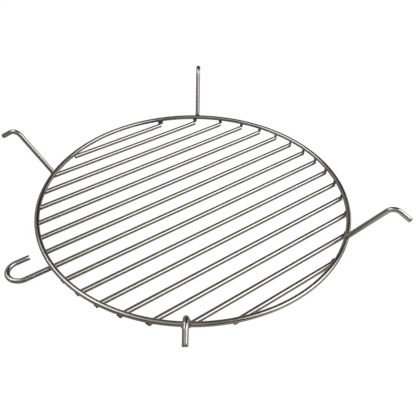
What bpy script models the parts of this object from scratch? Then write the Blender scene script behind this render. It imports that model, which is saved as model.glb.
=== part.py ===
"""Round wire cooling rack: straight bars welded under a ring, four bent arms and a hanging hook.

Metres, +Z up. The rack lies on its bars: Z = 0 is the plane under them, and the origin is
the middle of the centre bar's underside. The bars run along X and the hook is at -X.
"""
import math

import bmesh
import bpy
from mathutils import Matrix, Vector

# Driving dimensions
RING_RADIUS = 0.150          # to the centreline of the ring's wire
RING_WIRE = 0.0046
BAR_WIRE = 0.0046            # straight bars and the hook
ARM_WIRE = 0.0046
WELD_GAP = 0.0003            # clearance kept at each weld between two solids

BAR_PITCH = 0.0198           # spacing of the inner bars
END_BAR_PITCH = 0.0184       # spacing of the first and last pair
BARS_EACH_SIDE = 7           # bars on each side of the centre bar
BAR_END_RADIUS = 0.149       # the bars are cut to the chords of this circle
END_BAR_TRIM = 0.003         # and the first and last bar shorter by this much at each end
BAR_SHIFT = -0.0015          # the bars are welded on a little towards the hook
REAR_BAR_DRIFT = -0.0062     # and further the nearer they are to the rear; this is the rearmost's
DRIFT_POWER = 1.5

ARM_AZIMUTHS = {             # degrees from +X, anticlockwise from above
    "arm_rear_right": 53.6,
    "arm_rear_left": 130.1,
    "arm_front_left": 233.6,
    "arm_front_right": 303.1,
}
ARM_LIFT = 0.0015            # how far the arm's line passes above the ring's centreline
ARM_RISER = 0.0585           # from beside that centreline to the corner where the bend's legs would meet
ARM_TIP = 0.019              # from that corner to the tip's cut end
ARM_BEND_RADIUS = 0.008

HOOK_BEND_RADIUS = 0.01125
HOOK_BEND_X = -0.1732        # centre of the hook's half-circle
HOOK_TIP_X = -0.161          # cut end of the returning leg

# Facets of the wires
WIRE_SIDES = 16              # one flat faces straight down
RING_SEGMENTS = 96
BEND_STEP = math.radians(7.5)
ARM_BEND_STEPS = 12          # a right angle
ARM_RISE_STEPS = 7.5         # rise above level in bend steps, so that the eighth facet lies level
HOOK_BEND_STEPS = 24         # a half circle

BAR_HEIGHT = BAR_WIRE / 2
RING_HEIGHT = BAR_WIRE + WELD_GAP + RING_WIRE / 2


def steel(name, colour, roughness):
    """A bright steel finish."""
    material = bpy.data.materials.new(name)
    material.use_nodes = True
    shader = material.node_tree.nodes["Principled BSDF"]
    shader.inputs["Base Color"].default_value = (*colour, 1.0)
    shader.inputs["Metallic"].default_value = 1.0
    shader.inputs["Roughness"].default_value = roughness
    return material


def cut_end(bm, diameter, centre, direction):
    """A wire's cut end: a disc whose flats, not its corners, lie at the wire's radius."""
    corner_radius = diameter / 2 / math.cos(math.pi / WIRE_SIDES)
    half_side = Matrix.Rotation(math.pi / WIRE_SIDES, 4, "Z")
    facing = direction.to_track_quat("Z", "Y").to_matrix().to_4x4()
    place = Matrix.Translation(centre) @ facing @ half_side
    bmesh.ops.create_circle(
        bm, cap_ends=True, segments=WIRE_SIDES, radius=corner_radius, matrix=place)
    return bm.faces[:][-1]


def grow(bm, end, move):
    """Extrudes the wire's end face by a transform, and gives the new end face."""
    moved = bmesh.ops.extrude_face_region(bm, geom=[end])["geom"]
    corners = [item for item in moved if isinstance(item, bmesh.types.BMVert)]
    bmesh.ops.transform(bm, verts=corners, matrix=move)
    inside_the_wire = len(end.edges[0].link_faces) > 2
    if inside_the_wire:
        bmesh.ops.delete(bm, geom=[end], context="FACES_ONLY")
    return next(item for item in moved if isinstance(item, bmesh.types.BMFace))


def feed(bm, end, step):
    """Runs the wire straight on."""
    return grow(bm, end, Matrix.Translation(step))


def bend(bm, end, centre, axis, steps):
    """Bends the wire round an axis through the centre."""
    turn = Matrix.Rotation(BEND_STEP, 4, axis)
    about_centre = Matrix.Translation(centre) @ turn @ Matrix.Translation(-centre)
    for _ in range(steps):
        end = grow(bm, end, about_centre)
    return end


def wire_mesh(name, bm, material):
    """Finishes a wire: faces outward, round sides shaded smooth, cut ends left sharp."""
    bmesh.ops.recalc_face_normals(bm, faces=bm.faces)
    mesh = bpy.data.meshes.new(name)
    bm.to_mesh(mesh)
    bm.free()
    mesh.shade_smooth()
    mesh.set_sharp_from_angle(angle=math.radians(40))
    mesh.materials.append(material)
    return mesh


def place(name, mesh, location, turn=0.0):
    """Puts a mesh in the scene as a named sub-part."""
    piece = bpy.data.objects.new(name, mesh)
    piece.location = location
    piece.rotation_euler.z = turn
    bpy.context.collection.objects.link(piece)
    return piece


def ring_mesh(material):
    """The ring: one wire rolled into a full circle about Z."""
    bm = bmesh.new()
    end = cut_end(bm, RING_WIRE, Vector((RING_RADIUS, 0, 0)), Vector((0, 1, 0)))
    bmesh.ops.spin(
        bm, geom=[*end.verts, *end.edges], cent=(0, 0, 0), axis=(0, 0, 1),
        angle=math.tau, steps=RING_SEGMENTS, use_merge=True)
    bmesh.ops.delete(bm, geom=[end], context="FACES_ONLY")
    return wire_mesh("ring", bm, material)


def bar_mesh(half_length, material):
    """A straight bar along X."""
    bm = bmesh.new()
    end = cut_end(bm, BAR_WIRE, Vector((-half_length, 0, 0)), Vector((1, 0, 0)))
    feed(bm, end, Vector((2 * half_length, 0, 0)))
    return wire_mesh("bar", bm, material)


def hook_bar_mesh(material):
    """The centre bar, which runs on past the ring and turns back on itself as a flat hook."""
    bm = bmesh.new()
    right_end = BAR_END_RADIUS + BAR_SHIFT
    end = cut_end(bm, BAR_WIRE, Vector((right_end, 0, 0)), Vector((-1, 0, 0)))
    end = feed(bm, end, Vector((HOOK_BEND_X - right_end, 0, 0)))
    centre = Vector((HOOK_BEND_X, HOOK_BEND_RADIUS, 0))
    end = bend(bm, end, centre, Vector((0, 0, -1)), HOOK_BEND_STEPS)
    feed(bm, end, Vector((HOOK_TIP_X - HOOK_BEND_X, 0, 0)))
    return wire_mesh("hook_bar", bm, material)


def arm_mesh(material):
    """An arm in its own XZ plane, +X outward, from the ring's centreline at the origin."""
    rise = ARM_RISE_STEPS * BEND_STEP
    drop = ARM_BEND_STEPS * BEND_STEP - rise
    outward = Vector((math.cos(rise), 0, math.sin(rise)))
    tip_way = Vector((math.cos(drop), 0, -math.sin(drop)))
    lift = ARM_LIFT * Vector((-math.sin(rise), 0, math.cos(rise)))
    corner = lift + ARM_RISER * outward
    tangent = ARM_BEND_RADIUS * math.tan((rise + drop) / 2)
    root = lift + (RING_WIRE / 2 + WELD_GAP) * outward
    bend_start = corner - tangent * outward
    bend_centre = bend_start + ARM_BEND_RADIUS * Vector((math.sin(rise), 0, -math.cos(rise)))
    bm = bmesh.new()
    end = cut_end(bm, ARM_WIRE, root, outward)
    end = feed(bm, end, bend_start - root)
    end = bend(bm, end, bend_centre, Vector((0, 1, 0)), ARM_BEND_STEPS)
    feed(bm, end, (ARM_TIP - tangent) * tip_way)
    return wire_mesh("arm", bm, material)


def add_ring():
    finish = steel("ring_wire", (0.62, 0.60, 0.57), 0.20)
    place("outer_ring", ring_mesh(finish), (0, 0, RING_HEIGHT))


def add_bars():
    """Bar 01 is the rearmost; 08 is the centre bar, which carries the hook."""
    finish = steel("bar_wire", (0.64, 0.62, 0.59), 0.18)
    place("centre_bar_with_hook", hook_bar_mesh(finish), (0, 0, BAR_HEIGHT))
    for step in range(1, BARS_EACH_SIDE + 1):
        offset = step * BAR_PITCH
        trim = 0.0
        if step == BARS_EACH_SIDE:
            offset = (step - 1) * BAR_PITCH + END_BAR_PITCH
            trim = END_BAR_TRIM
        mesh = bar_mesh(math.sqrt(BAR_END_RADIUS ** 2 - offset ** 2) - trim, finish)
        drift = REAR_BAR_DRIFT * (step / BARS_EACH_SIDE) ** DRIFT_POWER
        for side, shift in ((1, BAR_SHIFT + drift), (-1, BAR_SHIFT)):
            number = BARS_EACH_SIDE + 1 - side * step
            place(f"cross_bar_{number:02d}", mesh, (shift, side * offset, BAR_HEIGHT))


def add_arms():
    mesh = arm_mesh(steel("arm_wire", (0.64, 0.62, 0.59), 0.18))
    for name, azimuth in ARM_AZIMUTHS.items():
        turn = math.radians(azimuth)
        foot = (RING_RADIUS * math.cos(turn), RING_RADIUS * math.sin(turn), RING_HEIGHT)
        place(name, mesh, foot, turn)


def main():
    for leftover in list(bpy.data.objects):
        bpy.data.objects.remove(leftover, do_unlink=True)
    add_ring()
    add_bars()
    add_arms()


main()
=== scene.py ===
"""Round wire cooling rack: drawn steel wires, their cut ends and their welds, on a pale floor."""

import math

import bmesh
import bpy
from mathutils import Matrix, Quaternion, Vector, noise


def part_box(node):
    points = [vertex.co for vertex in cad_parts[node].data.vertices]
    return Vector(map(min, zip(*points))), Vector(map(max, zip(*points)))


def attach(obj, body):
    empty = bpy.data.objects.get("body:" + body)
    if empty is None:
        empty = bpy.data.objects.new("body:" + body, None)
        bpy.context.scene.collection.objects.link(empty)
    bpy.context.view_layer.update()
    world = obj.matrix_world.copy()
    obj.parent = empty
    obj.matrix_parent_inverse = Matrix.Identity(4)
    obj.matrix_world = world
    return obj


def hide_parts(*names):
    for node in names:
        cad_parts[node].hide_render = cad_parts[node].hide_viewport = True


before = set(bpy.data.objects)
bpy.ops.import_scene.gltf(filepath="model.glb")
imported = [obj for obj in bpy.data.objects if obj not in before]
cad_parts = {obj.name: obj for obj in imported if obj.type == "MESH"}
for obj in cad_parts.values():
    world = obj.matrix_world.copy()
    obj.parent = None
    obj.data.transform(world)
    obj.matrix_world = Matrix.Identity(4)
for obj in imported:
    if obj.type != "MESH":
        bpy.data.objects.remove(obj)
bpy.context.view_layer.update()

# What the CAD nodes' boxes don't tell: angles, bends and cut lengths, as they were designed
ARM_AZIMUTHS = {
    "arm_rear_right": 53.6,
    "arm_rear_left": 130.1,
    "arm_front_left": 233.6,
    "arm_front_right": 303.1,
}
ARM_RISE = math.radians(56.25)
ARM_BEND = math.radians(90)
ARM_LIFT = 0.0015
ARM_RISER = 0.0585
ARM_TIP = 0.019
ARM_BEND_RADIUS = 0.00807             # a little over the design's, whose chords run lower than an arc
HOOK_TIP_X = -0.161
WELD_GAP = 0.0003
SEAM_AZIMUTH = math.radians(178.9)    # the ring's own butt weld

# Mesh detail
SIDES = 32
COARSE_STEP = 0.006                   # between sections on a plain run
ARM_STEP = 0.004                      # on an arm's riser
MIDDLE_STEP = 0.003                   # on the hook and the arms' tips
FINE_STEP = 0.0008                    # near a weld or a cut end
BEND_STEP = math.radians(4)
CHAMFER = 0.00022                     # cut ends are dressed, not sharp
HEAT_REACH = 0.0065                   # how far a weld's tint spreads along the wire
FINE_RUN = 0.016                      # how far close sections reach from a bar's ends
FINE_FOOT = 0.012                     # and from an arm's foot
RING_SECTIONS = 1440

# Welds
WELD_REACH = 0.0004                   # how far past a bar's cut end the middle of its weld can lie
WELD_SPREAD = 0.0031                  # and how far inside the ring's centreline
WELD_ROWS = 10
NECK_RADIUS = 0.00118                 # a bar's weld, at its waist
NECK_FLARE = 0.00042                  # and how much wider it is where it meets the wires
NECK_HALF_HEIGHT = 0.0013
NECK_ROUGHNESS = 0.00012
NECK_STRETCH = 2.2                    # the longest a weld gets where the wires cross at a slant
FILLET_ALONG = 0.0029                 # an arm's weld: how far it spreads along the ring
FILLET_ROUND = 0.0031                 # and round it
FILLET_RISE = 0.0016                  # and up the arm
FILLET_NECK = 0.97                    # its width at the top, in arm widths
FILLET_WAIST = 1.04                   # the width that its hollow curve bends towards
FILLET_FULLNESS = 0.78                # and how far up it does, as a part of its height
FILLET_WRAP = 0.93                    # the sine of how far round the ring it can reach
FILLET_ROUGHNESS = 0.00010
SUNK = 0.00010                        # how deep a fillet's foot lies in the ring
SEAM_BEAD, SEAM_BEAD_WIDTH = 0.00018, 0.0011
SEAM_GROOVE, SEAM_GROOVE_WIDTH = 0.00065, 0.00045

# Finishes; patterns are per metre: across the wire twice and along it, then in X, Y and Z for weld metal
DRAW_LINES = (5200, 5200, 26)
POLISH_CLOUDS = (260, 260, 70)
SPECKS = (2300, 2300, 1500)
WELD_RIPPLES = (1500, 1500, 2400)
WELD_CLOUDS = (420, 420, 420)
STEEL_PALE, STEEL_DEEP = (0.66, 0.64, 0.61), (0.55, 0.53, 0.50)
HEAT_TINT = (                         # from bare wire through straw and brown to grey
    (0.0, (0.62, 0.60, 0.57)),
    (0.25, (0.50, 0.41, 0.29)),
    (0.5, (0.30, 0.25, 0.23)),
    (0.85, (0.20, 0.19, 0.19)),
)
RING_GLOSS, WIRE_GLOSS = 0.15, 0.14   # the least roughness on the ring and on the straight wires

# Camera: where it looks, as parts of the ring's radius in the ring's plane, and from where
VIEW_AIM = (0.0228, -0.1270)
VIEW_AZIMUTH = -36.58
VIEW_ELEVATION = 41.45
VIEW_DISTANCE = 3.474                 # also in ring radii
VIEW_ROLL = math.radians(1.09)
VIEW_LENS = 46.68                     # millimetres, on a 36 mm sensor

# Studio: name, azimuth, elevation, width, height, radiance; azimuth 0 is in front, + to the right
SOFTBOXES = (
    ("key_softbox", 40, 43, 1.20, 1.0, 1.95),
    ("camera_fill", -58, 56, 1.0, 0.8, 0.45),
    ("rear_left_softbox", -130, 51, 1.15, 0.8, 1.6),
    ("right_strip", 86, 11, 0.65, 0.40, 0.75),
)
LIGHT_COLOUR = (1.0, 0.998, 0.992)
LIGHT_DISTANCE = 1.3
WALLS = (                             # as the wires mirror them, from the horizon up
    (0.0, (0.20, 0.19, 0.175)),
    (0.45, (0.24, 0.23, 0.21)),
    (0.72, (0.17, 0.165, 0.155)),
    (1.0, (0.12, 0.117, 0.11)),
)
FRONT_GAPS = ((-12, 6, 32), (-38, 6, 30), (-66, 6, 28))    # dark places: azimuth, elevation, reach
REAR_GAP = (121, 28, 31)
GAP_EDGE = 0.4                        # how softly they begin
GAP_LIGHT = 0.12                      # what is left of the walls' light in them
FLOOR_GLOW = 0.96                     # the floor and backdrop as they are looked at
FLOOR_SHADED = 0.15
FLOOR_MIRRORED_PAINTED_SHADE = (0.40, 0.37, 0.33)   # the floor as the wires mirror it, under the rack, darker there as painted shade of the rack
FLOOR_IN_FRONT = (0.78, 0.74, 0.69)   # and in front, out of the rack's shade


def size_of(node):
    low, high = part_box(node)
    return low, high, high - low


ring_low, ring_high, ring_size = size_of("outer_ring")
RING_WIRE = ring_size.z
RING_RADIUS = (ring_size.x - RING_WIRE) / 2
RING_HEIGHT = (ring_low.z + ring_high.z) / 2
bar_low, bar_high, bar_size = size_of("centre_bar_with_hook")
BAR_WIRE = bar_size.z
BAR_HEIGHT = (bar_low.z + bar_high.z) / 2
ARM_WIRE = BAR_WIRE


# ---------------------------------------------------------------- wires

class Run:
    """A wire's centreline, walked from one end to the other in a plane with this normal."""

    def __init__(self, start, way, normal):
        self.normal = normal.normalized()
        self.way = way.normalized()
        self.stations = [(start.copy(), self.way.copy())]

    def straight(self, length, step):
        start = self.stations[-1][0]
        count = max(1, round(length / step))
        for i in range(1, count + 1):
            self.stations.append((start + self.way * (length * i / count), self.way.copy()))
        return self

    def bend(self, radius, angle):
        """Turns about the normal, anticlockwise when the angle is positive."""
        start = self.stations[-1][0]
        side = self.normal.cross(self.way) * (radius if angle > 0 else -radius)
        centre = start + side
        count = max(1, round(abs(angle) / BEND_STEP))
        first_way = self.way.copy()
        for i in range(1, count + 1):
            turn = Matrix.Rotation(angle * i / count, 3, self.normal)
            self.stations.append((centre - turn @ side, turn @ first_way))
        self.way = self.stations[-1][1].copy()
        return self


def lengths_along(stations):
    total = 0.0
    lengths = [0.0]
    for (a, _), (b, _) in zip(stations, stations[1:]):
        total += (b - a).length
        lengths.append(total)
    return lengths


def heat_at(point, welds):
    """0 away from every weld, rising to 1 on one."""
    if not welds:
        return 0.0
    nearest = min((point - weld).length for weld in welds)
    return max(0.0, 1.0 - nearest / HEAT_REACH) ** 1.5


def wire_object(name, run, diameter, welds, closed=False, swell=None):
    """Skins a run with round sections; carries the draw direction and the weld heat for its finish."""
    radius = diameter / 2
    stations = run.stations[:-1] if closed else run.stations
    lengths = lengths_along(stations)
    sections = [(p, way, s, 1.0) for (p, way), s in zip(stations, lengths)]
    if not closed:
        sections = dress_ends(sections, radius)
    bm = bmesh.new()
    draw = bm.verts.layers.float_vector.new("draw")
    heat = bm.verts.layers.float.new("heat")
    rings = []
    for point, way, along, scale in sections:
        across = run.normal.cross(way).normalized()
        r = radius * scale
        if swell:
            r += swell(along)
        ring = []
        for k in range(SIDES):
            a = math.tau * k / SIDES
            vert = bm.verts.new(point + (across * math.cos(a) + run.normal * math.sin(a)) * r)
            vert[draw] = (radius * math.cos(a), radius * math.sin(a), along)
            vert[heat] = heat_at(point, welds)
            ring.append(vert)
        rings.append(ring)
    return skinned(name, bm, rings, closed)


def skinned(name, bm, rings, closed=False, poked=True):
    """Joins rings of SIDES vertices into one surface, with a cap at each open end."""
    pairs = list(zip(rings, rings[1:]))
    if closed:
        pairs.append((rings[-1], rings[0]))
    for ring, following in pairs:
        for k in range(SIDES):
            n = (k + 1) % SIDES
            bm.faces.new((ring[k], following[k], following[n], ring[n]))
    if not closed:
        for ring in (rings[0], rings[-1]):
            cap = bm.faces.new(ring)
            if poked:
                bmesh.ops.poke(bm, faces=[cap])
    bmesh.ops.recalc_face_normals(bm, faces=bm.faces)
    return to_object(name, bm)


def dress_ends(sections, radius):
    """Replaces each square corner at a cut with a small rounded one."""
    corner = [(0.0, 1 - CHAMFER / radius), (CHAMFER * 0.35, 1 - CHAMFER * 0.3 / radius), (CHAMFER, 1.0)]
    point, way, along, _ = sections[0]
    head = [(point + way * d, way, along + d, s) for d, s in corner]
    point, way, along, _ = sections[-1]
    tail = [(point - way * d, way, along - d, s) for d, s in reversed(corner)]
    return head + sections[1:-1] + tail


def to_object(name, bm):
    mesh = bpy.data.meshes.new(name)
    bm.to_mesh(mesh)
    bm.free()
    mesh.shade_smooth()
    mesh.set_sharp_from_angle(angle=math.radians(35))
    obj = bpy.data.objects.new(name, mesh)
    bpy.context.scene.collection.objects.link(obj)
    return obj


# ---------------------------------------------------------------- where the welds are

def ring_point(azimuth):
    return Vector((RING_RADIUS * math.cos(azimuth), RING_RADIUS * math.sin(azimuth), RING_HEIGHT))


def bar_weld_points(offset, left, right):
    """Under the ring's middle, or at the bar's end where the bar stops short of that."""
    z = (RING_HEIGHT - RING_WIRE / 2 + BAR_HEIGHT + BAR_WIRE / 2) / 2
    crossing = math.sqrt(RING_RADIUS ** 2 - offset ** 2)
    points = []
    for x in (max(-crossing, left - WELD_REACH), min(crossing, right + WELD_REACH)):
        flat = Vector((x, offset, 0))
        short = RING_RADIUS - WELD_SPREAD - flat.length
        flat += flat.normalized() * max(0.0, short)
        points.append(flat + Vector((0, 0, z)))
    return points


def arm_axis(azimuth):
    outward = Vector((math.cos(azimuth), math.sin(azimuth), 0))
    return outward * math.cos(ARM_RISE) + Vector((0, 0, math.sin(ARM_RISE)))


def arm_root(azimuth):
    """The point on the arm's own line nearest the ring's centreline."""
    sideways = Vector((-math.sin(azimuth), math.cos(azimuth), 0))
    return ring_point(azimuth) + arm_axis(azimuth).cross(sideways) * ARM_LIFT


bars = {}
for node in sorted(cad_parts):
    if node.startswith("cross_bar"):
        low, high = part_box(node)
        bars[node] = ((low.y + high.y) / 2, low.x, high.x)

weld_spots = {node: bar_weld_points(*bar) for node, bar in bars.items()}
weld_spots["centre_bar_with_hook"] = bar_weld_points(0.0, bar_low.x, bar_high.x)


# ---------------------------------------------------------------- finishes

def add(tree, kind, **settings):
    node = tree.nodes.new(kind)
    for key, value in settings.items():
        setattr(node, key, value)
    return node


def scaled(tree, vector, factors):
    """Stretches a pattern's coordinates: large factors make fine detail."""
    node = add(tree, "ShaderNodeVectorMath", operation="MULTIPLY")
    tree.links.new(vector, node.inputs[0])
    node.inputs[1].default_value = factors
    return node.outputs[0]


def noise_of(tree, vector, detail, roughness):
    node = add(tree, "ShaderNodeTexNoise")
    node.inputs["Scale"].default_value = 1.0
    node.inputs["Detail"].default_value = detail
    node.inputs["Roughness"].default_value = roughness
    tree.links.new(vector, node.inputs["Vector"])
    return node.outputs["Fac"]


def ranged(tree, value, low, high, to_low, to_high):
    node = add(tree, "ShaderNodeMapRange")
    tree.links.new(value, node.inputs["Value"])
    for key, number in (("From Min", low), ("From Max", high), ("To Min", to_low), ("To Max", to_high)):
        node.inputs[key].default_value = number
    return node.outputs["Result"]


def ramp(tree, value, *stops):
    node = add(tree, "ShaderNodeValToRGB")
    elements = node.color_ramp.elements
    while len(elements) < len(stops):
        elements.new(0.5)
    for element, (place, colour) in zip(elements, stops):
        element.position = place
        element.color = (*colour, 1)
    tree.links.new(value, node.inputs["Fac"])
    return node.outputs["Color"]


def blend_colours(tree, amount, first, second, mode="MIX"):
    """Blends two colours by this amount, or fully if there is none."""
    node = add(tree, "ShaderNodeMix", data_type="RGBA", blend_type=mode)
    node.inputs[0].default_value = 1.0
    if amount is not None:
        tree.links.new(amount, node.inputs[0])
    tree.links.new(first, node.inputs[6])
    tree.links.new(second, node.inputs[7])
    return node.outputs[2]


def math_of(tree, operation, first, second):
    node = add(tree, "ShaderNodeMath", operation=operation)
    tree.links.new(first, node.inputs[0])
    if isinstance(second, (int, float)):
        node.inputs[1].default_value = second
    else:
        tree.links.new(second, node.inputs[1])
    return node.outputs[0]


def drawn_steel(name, gloss):
    """Bright drawn wire: fine lines along it, clouded polish, and a straw-to-grey tint at welds."""
    material = bpy.data.materials.new(name)
    material.use_nodes = True
    tree = material.node_tree
    shader = tree.nodes["Principled BSDF"]
    shader.inputs["Metallic"].default_value = 1.0
    coordinate = add(tree, "ShaderNodeAttribute", attribute_name="draw").outputs["Vector"]
    heat = add(tree, "ShaderNodeAttribute", attribute_name="heat").outputs["Fac"]

    lines = noise_of(tree, scaled(tree, coordinate, DRAW_LINES), 4.0, 0.65)
    clouds = noise_of(tree, scaled(tree, coordinate, POLISH_CLOUDS), 3.0, 0.55)
    specks = noise_of(tree, scaled(tree, coordinate, SPECKS), 2.0, 0.5)

    polish = ramp(tree, clouds, (0.30, STEEL_DEEP), (0.70, STEEL_PALE))
    streaks = ramp(tree, lines, (0.30, (0.86, 0.855, 0.85)), (0.62, (1, 1, 1)))
    metal = blend_colours(tree, None, polish, streaks, "MULTIPLY")
    tint = ramp(tree, heat, *HEAT_TINT)
    shown = ranged(tree, math_of(tree, "ADD", heat, ranged(tree, clouds, 0.3, 0.7, -0.10, 0.10)),
                   0.04, 0.45, 0.0, 0.85)
    tree.links.new(blend_colours(tree, shown, metal, tint), shader.inputs["Base Color"])

    rough = ranged(tree, clouds, 0.3, 0.7, gloss, gloss + 0.10)
    rough = math_of(tree, "ADD", rough, ranged(tree, lines, 0.3, 0.7, -0.02, 0.04))
    rough = math_of(tree, "ADD", rough, ranged(tree, heat, 0.05, 0.8, 0.0, 0.22))
    tree.links.new(rough, shader.inputs["Roughness"])

    height = math_of(tree, "ADD", lines, math_of(tree, "MULTIPLY", specks, 0.25))
    bump = add(tree, "ShaderNodeBump")
    bump.inputs["Strength"].default_value = 0.10
    bump.inputs["Distance"].default_value = 0.00002
    tree.links.new(height, bump.inputs["Height"])
    tree.links.new(bump.outputs["Normal"], shader.inputs["Normal"])
    return material


def weld_metal(name):
    """Fused metal: dull, rippled, and clouded from dark to paler brown-grey."""
    material = bpy.data.materials.new(name)
    material.use_nodes = True
    tree = material.node_tree
    shader = tree.nodes["Principled BSDF"]
    shader.inputs["Metallic"].default_value = 1.0
    place = add(tree, "ShaderNodeTexCoord").outputs["Object"]
    ripples = noise_of(tree, scaled(tree, place, WELD_RIPPLES), 3.0, 0.6)
    clouds = noise_of(tree, scaled(tree, place, WELD_CLOUDS), 2.0, 0.5)
    colour = ramp(tree, clouds, (0.32, (0.17, 0.155, 0.14)), (0.68, (0.38, 0.35, 0.32)))
    tree.links.new(colour, shader.inputs["Base Color"])
    tree.links.new(ranged(tree, ripples, 0.3, 0.7, 0.30, 0.52), shader.inputs["Roughness"])
    bump = add(tree, "ShaderNodeBump")
    bump.inputs["Strength"].default_value = 0.5
    bump.inputs["Distance"].default_value = 0.00008
    tree.links.new(ripples, bump.inputs["Height"])
    tree.links.new(bump.outputs["Normal"], shader.inputs["Normal"])
    return material


# ---------------------------------------------------------------- pieces

def finish_piece(piece, material, slot, *nodes):
    piece.data.materials.append(material)
    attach(piece, "root")
    if nodes:
        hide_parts(*nodes)


def seam_swell(along):
    """The ring's butt weld: a low bead with a fine open groove in its middle."""
    seam = RING_RADIUS * SEAM_AZIMUTH
    distance = abs(along - seam)
    bead = SEAM_BEAD * math.exp(-(distance / SEAM_BEAD_WIDTH) ** 2)
    groove = SEAM_GROOVE * math.exp(-(distance / SEAM_GROOVE_WIDTH) ** 2)
    return bead - groove


def add_ring(material):
    """One rolled wire of evenly spaced sections, tinted where welds are."""
    welds = [spot for spots in weld_spots.values() for spot in spots]
    welds += [ring_point(math.radians(a)) for a in ARM_AZIMUTHS.values()]
    welds.append(ring_point(SEAM_AZIMUTH))
    run = Run(ring_point(0), Vector((0, 1, 0)), Vector((0, 0, 1)))
    run.stations = []
    for i in range(RING_SECTIONS + 1):
        a = math.tau * i / RING_SECTIONS
        run.stations.append((ring_point(a), Vector((-math.sin(a), math.cos(a), 0))))
    ring = wire_object("ring_wire_round", run, RING_WIRE, welds, closed=True, swell=seam_swell)
    finish_piece(ring, material, "ring_wire", "outer_ring")


def fine_ended(run, length):
    """A straight with close sections at both ends, where the welds are."""
    run.straight(FINE_RUN, FINE_STEP)
    run.straight(length - 2 * FINE_RUN, COARSE_STEP)
    return run.straight(FINE_RUN, FINE_STEP)


def add_bars(material):
    for node, (offset, left, right) in bars.items():
        run = Run(Vector((left, offset, BAR_HEIGHT)), Vector((1, 0, 0)), Vector((0, 0, 1)))
        fine_ended(run, right - left)
        bar = wire_object(node + "_round", run, BAR_WIRE, weld_spots[node])
        finish_piece(bar, material, "bar_wire", node)


def add_hook_bar(material):
    low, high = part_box("centre_bar_with_hook")
    bend_radius = (high.y - BAR_WIRE / 2) / 2
    bend_x = low.x + BAR_WIRE / 2 + bend_radius
    run = Run(Vector((high.x, 0, BAR_HEIGHT)), Vector((-1, 0, 0)), Vector((0, 0, -1)))
    past_ring = -RING_RADIUS - FINE_RUN / 2
    fine_ended(run, high.x - past_ring)
    run.straight(past_ring - bend_x, MIDDLE_STEP)
    run.bend(bend_radius, math.pi)
    run.straight(HOOK_TIP_X - bend_x, MIDDLE_STEP)
    hook = wire_object("centre_bar_round", run, BAR_WIRE, weld_spots["centre_bar_with_hook"])
    finish_piece(hook, material, "bar_wire", "centre_bar_with_hook")


def add_arm(node, azimuth, material):
    outward = arm_axis(azimuth)
    sideways = Vector((-math.sin(azimuth), math.cos(azimuth), 0))
    root = arm_root(azimuth) + outward * (RING_WIRE / 2 + WELD_GAP)
    tangent = ARM_BEND_RADIUS * math.tan(ARM_BEND / 2)
    run = Run(root, outward, sideways)
    run.straight(FINE_FOOT, FINE_STEP)
    run.straight(ARM_RISER - tangent - RING_WIRE / 2 - WELD_GAP - FINE_FOOT, ARM_STEP)
    run.bend(ARM_BEND_RADIUS, ARM_BEND)
    run.straight(ARM_TIP - tangent, MIDDLE_STEP)
    arm = wire_object(node + "_round", run, ARM_WIRE, [ring_point(azimuth)])
    finish_piece(arm, material, "arm_wire", node)


# ---------------------------------------------------------------- welds

def roughen(point, amount):
    """A small repeatable unevenness that depends only on where the point is."""
    return noise.noise(point * 1400) * amount


def cross_weld(name, spot, ring_way, material):
    """The fused neck between a bar and the ring above it, longer where they cross at a slant."""
    bar_way = Vector((1, 0, 0))
    if ring_way.x < 0:
        ring_way = -ring_way
    slant = bar_way.angle(ring_way)
    longways = (bar_way + ring_way).normalized()
    sideways = Vector((0, 0, 1)).cross(longways)
    stretch = min(NECK_STRETCH, 1 / math.sin(max(slant, 0.3)) ** 0.9)
    bm = bmesh.new()
    rings = []
    for i in range(WELD_ROWS + 1):
        t = 2 * i / WELD_ROWS - 1
        r = NECK_RADIUS + NECK_FLARE * t * t
        ring = []
        for k in range(SIDES):
            a = math.tau * k / SIDES
            flat = longways * (math.cos(a) * r * stretch) + sideways * (math.sin(a) * r)
            point = spot + flat + Vector((0, 0, t * NECK_HALF_HEIGHT))
            point += flat.normalized() * roughen(point, NECK_ROUGHNESS)
            ring.append(bm.verts.new(point))
        rings.append(ring)
    finish_piece(skinned(name, bm, rings, poked=False), material, "ring_wire")


def arm_weld(name, azimuth, material):
    """A fillet round an arm's foot: up the arm's side and out over the ring's round back."""
    axis = arm_axis(azimuth)
    along = Vector((-math.sin(azimuth), math.cos(azimuth), 0))
    across = axis.cross(along)
    centre = ring_point(azimuth)
    ring_r = RING_WIRE / 2 - SUNK
    waist_r = ARM_WIRE / 2 * FILLET_WAIST
    neck_r = ARM_WIRE / 2 * FILLET_NECK
    top = RING_WIRE / 2 + FILLET_RISE
    bm = bmesh.new()
    rings = []
    for i in range(WELD_ROWS + 1):
        t = i / WELD_ROWS
        ring = []
        for k in range(SIDES):
            a = math.tau * k / SIDES
            c, d = math.cos(a), math.sin(a)
            reach = FILLET_ALONG * c ** 2 + FILLET_ROUND * d ** 2
            wrap = math.asin(min(FILLET_WRAP, max(-FILLET_WRAP, (reach * d + ARM_LIFT) / ring_r)))
            foot = Vector((reach * c, ring_r * math.sin(wrap), ring_r * math.cos(wrap)))
            waist = Vector((waist_r * c, ARM_LIFT + waist_r * d, top * FILLET_FULLNESS))
            neck = Vector((neck_r * c, ARM_LIFT + neck_r * d, top))
            x, y, z = foot * (1 - t) ** 2 + waist * (2 * t * (1 - t)) + neck * t ** 2
            point = centre + along * x + across * y + axis * z
            point += (along * c + across * d) * roughen(point, FILLET_ROUGHNESS * (1 - t))
            ring.append(bm.verts.new(point))
        rings.append(ring)
    finish_piece(skinned(name, bm, rings), material, "ring_wire")


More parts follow.
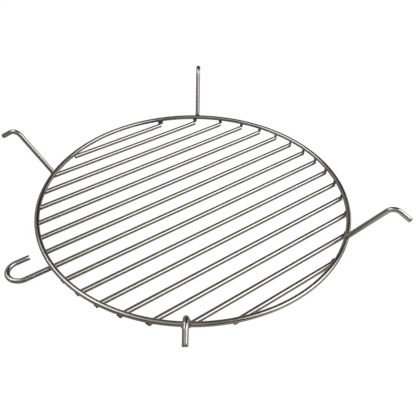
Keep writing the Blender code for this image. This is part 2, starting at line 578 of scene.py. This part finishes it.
def add_welds(material):
    for node, spots in weld_spots.items():
        for side, spot in zip(("left", "right"), spots):
            azimuth = math.atan2(spot.y, spot.x)
            ring_way = Vector((-math.sin(azimuth), math.cos(azimuth), 0))
            cross_weld(f"weld_{node}_{side}", spot, ring_way, material)
    for node, azimuth in ARM_AZIMUTHS.items():
        arm_weld(f"weld_{node}", math.radians(azimuth), material)


# ---------------------------------------------------------------- stage

def add_floor():
    """A plain white sweep to look at, which the wires mirror as a dimmer, warmer ground, with the rack's
    shade painted darker under it.
    """
    material = bpy.data.materials.new("pale_floor")
    material.use_nodes = True
    tree = material.node_tree
    tree.nodes.clear()
    glow = add(tree, "ShaderNodeEmission")
    glow.inputs["Color"].default_value = (1.0, 1.0, 1.0, 1)
    glow.inputs["Strength"].default_value = FLOOR_GLOW
    pale = add(tree, "ShaderNodeBsdfDiffuse")
    pale.inputs["Color"].default_value = (FLOOR_SHADED, FLOOR_SHADED, FLOOR_SHADED, 1)
    seen = add(tree, "ShaderNodeAddShader")
    tree.links.new(glow.outputs[0], seen.inputs[0])
    tree.links.new(pale.outputs[0], seen.inputs[1])
    mirrored = add(tree, "ShaderNodeBsdfDiffuse")
    place = add(tree, "ShaderNodeSeparateXYZ")
    tree.links.new(add(tree, "ShaderNodeTexCoord").outputs["Object"], place.inputs[0])
    # painted shade: the mirrored floor darkens from its lighter colour in front of the ring to the
    # darker one under the rack
    painted_rack_shade = ranged(tree, place.outputs["Y"], -RING_RADIUS - 0.02, -RING_RADIUS + 0.02, 0.0, 1.0)
    ground = ramp(tree, painted_rack_shade, (0.0, FLOOR_IN_FRONT), (1.0, FLOOR_MIRRORED_PAINTED_SHADE))
    tree.links.new(ground, mirrored.inputs["Color"])
    choice = add(tree, "ShaderNodeMixShader")
    tree.links.new(add(tree, "ShaderNodeLightPath").outputs["Is Camera Ray"], choice.inputs[0])
    tree.links.new(mirrored.outputs[0], choice.inputs[1])
    tree.links.new(seen.outputs[0], choice.inputs[2])
    tree.links.new(choice.outputs[0], add(tree, "ShaderNodeOutputMaterial").inputs["Surface"])
    bm = bmesh.new()
    bmesh.ops.create_grid(bm, x_segments=1, y_segments=1, size=6)
    floor = to_object("floor", bm)
    floor.location.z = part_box("centre_bar_with_hook")[0].z - 0.00005
    floor.data.materials.append(material)


def towards(azimuth, elevation):
    """A direction out from the rack, in degrees; azimuth 0 is in front, positive to the right."""
    a, e = math.radians(azimuth), math.radians(elevation)
    return Vector((math.sin(a) * math.cos(e), -math.cos(a) * math.cos(e), math.sin(e)))


def add_light(name, azimuth, elevation, width, height, radiance):
    """A softbox at LIGHT_DISTANCE that faces the rack."""
    data = bpy.data.lights.new(name, "AREA")
    data.shape = "RECTANGLE"
    data.size = width
    data.size_y = height
    data.energy = math.pi * radiance * width * height
    data.color = LIGHT_COLOUR
    lamp = bpy.data.objects.new(name, data)
    back = towards(azimuth, elevation)
    lamp.location = back * LIGHT_DISTANCE
    lamp.rotation_euler = (-back).to_track_quat("-Z", "Y").to_euler()
    bpy.context.scene.collection.objects.link(lamp)


def facing(tree, way, azimuth, elevation, reach):
    """1 in this direction, falling to 0 at `reach` degrees from it."""
    dot = add(tree, "ShaderNodeVectorMath", operation="DOT_PRODUCT")
    tree.links.new(way, dot.inputs[0])
    dot.inputs[1].default_value = towards(azimuth, elevation)
    return ranged(tree, dot.outputs["Value"], math.cos(math.radians(reach)), 1.0, 0.0, 1.0)


def add_lights():
    """The softboxes, and walls that are plain to look at but have dark places when mirrored."""
    for softbox in SOFTBOXES:
        add_light(*softbox)
    world = bpy.data.worlds.new("studio")
    world.use_nodes = True
    tree = world.node_tree
    way = add(tree, "ShaderNodeTexCoord").outputs["Generated"]
    height = add(tree, "ShaderNodeSeparateXYZ")
    tree.links.new(way, height.inputs[0])
    walls = ramp(tree, height.outputs["Z"], *WALLS)
    first, second, third = [facing(tree, way, *gap) for gap in FRONT_GAPS]
    front = math_of(tree, "MAXIMUM", math_of(tree, "MAXIMUM", first, second), third)
    front = ranged(tree, front, 0.0, GAP_EDGE, 1.0, GAP_LIGHT)
    rear = ranged(tree, facing(tree, way, *REAR_GAP), 0.0, GAP_EDGE, 1.0, GAP_LIGHT)
    shade = math_of(tree, "MULTIPLY", front, rear)
    mirrored = tree.nodes["Background"]
    tree.links.new(walls, mirrored.inputs["Color"])
    tree.links.new(shade, mirrored.inputs["Strength"])
    seen = add(tree, "ShaderNodeBackground")
    seen.inputs["Color"].default_value = (FLOOR_GLOW, FLOOR_GLOW, FLOOR_GLOW, 1)
    choice = add(tree, "ShaderNodeMixShader")
    tree.links.new(add(tree, "ShaderNodeLightPath").outputs["Is Camera Ray"], choice.inputs[0])
    tree.links.new(mirrored.outputs[0], choice.inputs[1])
    tree.links.new(seen.outputs[0], choice.inputs[2])
    tree.links.new(choice.outputs[0], tree.nodes["World Output"].inputs["Surface"])
    bpy.context.scene.world = world


def add_camera():
    data = bpy.data.cameras.new("camera")
    data.sensor_width = 36
    data.lens = VIEW_LENS
    data.clip_start = 0.01
    camera = bpy.data.objects.new("camera", data)
    back = towards(VIEW_AZIMUTH, VIEW_ELEVATION)
    aim = Vector((VIEW_AIM[0] * RING_RADIUS, VIEW_AIM[1] * RING_RADIUS, RING_HEIGHT))
    camera.location = aim + back * VIEW_DISTANCE * RING_RADIUS
    turn = (-back).to_track_quat("-Z", "Y") @ Quaternion((0, 0, 1), VIEW_ROLL)
    camera.rotation_euler = turn.to_euler()
    bpy.context.scene.collection.objects.link(camera)
    bpy.context.scene.camera = camera


def main():
    add_camera()
    steel_ring = drawn_steel("ring_steel", RING_GLOSS)
    steel_bar = drawn_steel("bar_steel", WIRE_GLOSS)
    steel_arm = drawn_steel("arm_steel", WIRE_GLOSS)
    add_ring(steel_ring)
    add_bars(steel_bar)
    add_hook_bar(steel_bar)
    for node, azimuth in ARM_AZIMUTHS.items():
        add_arm(node, math.radians(azimuth), steel_arm)
    add_welds(weld_metal("weld_metal"))
    add_floor()
    add_lights()
    bpy.context.scene.view_settings.view_transform = "Standard"


main()
